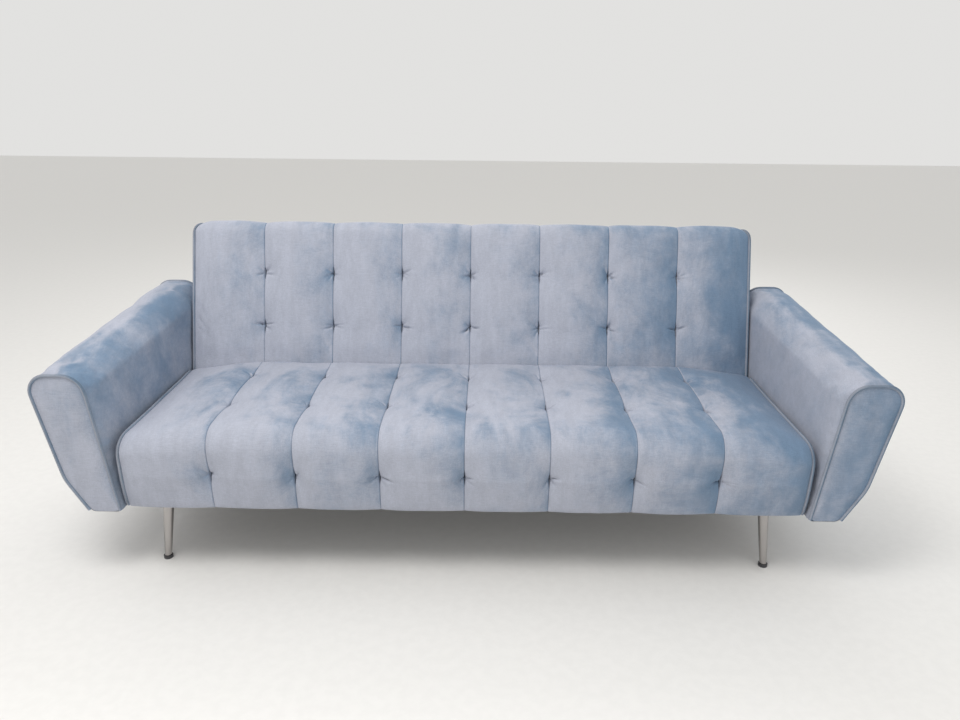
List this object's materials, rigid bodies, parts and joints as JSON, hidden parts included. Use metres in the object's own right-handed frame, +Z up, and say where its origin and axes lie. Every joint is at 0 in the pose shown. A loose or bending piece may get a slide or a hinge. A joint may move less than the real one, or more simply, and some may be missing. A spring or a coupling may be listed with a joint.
{
  "type": "click-clack sofa bed",
  "caption": "Three-seat click-clack sofa bed: channelled, tufted velvet seat and reclining back between splayed padded arms, on round tapered, splayed chrome legs.",
  "frame": {"origin": "middle of the bounding box, on the floor", "axes": "+X along the sofa's length, to the right of someone who stands in front of it; -Y is the front, +Z is up"},
  "size_m": [2.07, 0.81, 0.8033],
  "materials": {
    "fabric": "short-pile velvet, dusty blue",
    "fabric_piping": "velvet piping in the same cloth",
    "foam": "polyurethane foam",
    "wood": "sawn pine, unfinished",
    "plywood": "birch plywood, unfinished",
    "spring_steel": "oiled spring wire",
    "plate_steel": "zinc plated sheet",
    "fastener": "zinc plated",
    "chrome": "polished",
    "glide": "moulded",
    "dust_cloth": "black non-woven cloth"
  },
  "bodies": {
    "base": {"front_rail": "wood", "middle_rail": "wood", "rear_rail": "wood", "side_rail_left": "wood", "side_rail_right": "wood", "centre_struts": "wood", "corner_blocks": "wood", "seat_springs": "spring_steel", "seat_foam": "foam", "seat_cover": "fabric", "seat_end_panel_left": "fabric", "seat_end_panel_right": "fabric", "seat_piping_left": "fabric_piping", "seat_piping_right": "fabric_piping", "rear_apron": "fabric", "dust_cover": "dust_cloth", "leg_front_left": "chrome", "leg_front_right": "chrome", "leg_rear_left": "chrome", "leg_rear_right": "chrome", "leg_plates": "plate_steel", "leg_screws": "fastener", "leg_glides": "glide", "arm_cover_left": "fabric", "arm_cover_right": "fabric", "arm_foam_left": "foam", "arm_foam_right": "foam", "arm_formers_left": "plywood", "arm_formers_right": "plywood", "arm_rails_left": "wood", "arm_rails_right": "wood", "arm_front_panel_left": "fabric", "arm_front_panel_right": "fabric", "arm_rear_panel_left": "fabric", "arm_rear_panel_right": "fabric", "arm_piping_left": "fabric_piping", "arm_piping_right": "fabric_piping", "arm_bolts": "fastener", "seat_hinge_plate_left": "plate_steel", "seat_hinge_plate_right": "plate_steel", "hinge_pins": "fastener", "seat_hinge_bolts": "fastener", "ratchets": "plate_steel"},
    "back": {"back_hinge_plate_left": "plate_steel", "back_hinge_plate_right": "plate_steel", "back_hinge_bolts": "fastener", "back_top_rail": "wood", "back_bottom_rail": "wood", "back_stiles": "wood", "back_springs": "spring_steel", "back_foam": "foam", "back_cover": "fabric", "back_rear_panel": "fabric", "back_end_panels": "fabric", "back_piping_left": "fabric_piping", "back_piping_right": "fabric_piping", "pawl_pins": "fastener"},
    "pawl_left": {"pawl_left": "plate_steel"},
    "pawl_right": {"pawl_right": "plate_steel"}
  },
  "joints": [
    {"name": "back_recline", "type": "hinge", "parent": "base", "child": "back", "pos_m": [0, 0.20083, 0.317], "axis": [-1, 0, 0], "range_deg": [0, 72.5]},
    {"name": "pawl_left_drop", "type": "hinge", "parent": "back", "child": "pawl_left", "pos_m": [-0.8235, 0.19338, 0.36653], "axis": [-1, 0, 0], "range_deg": [0, 8], "stiffness_Nm_per_rad": 0.6},
    {"name": "pawl_right_drop", "type": "hinge", "parent": "back", "child": "pawl_right", "pos_m": [0.8235, 0.19338, 0.36653], "axis": [-1, 0, 0], "range_deg": [0, 8], "stiffness_Nm_per_rad": 0.6}
  ]
}
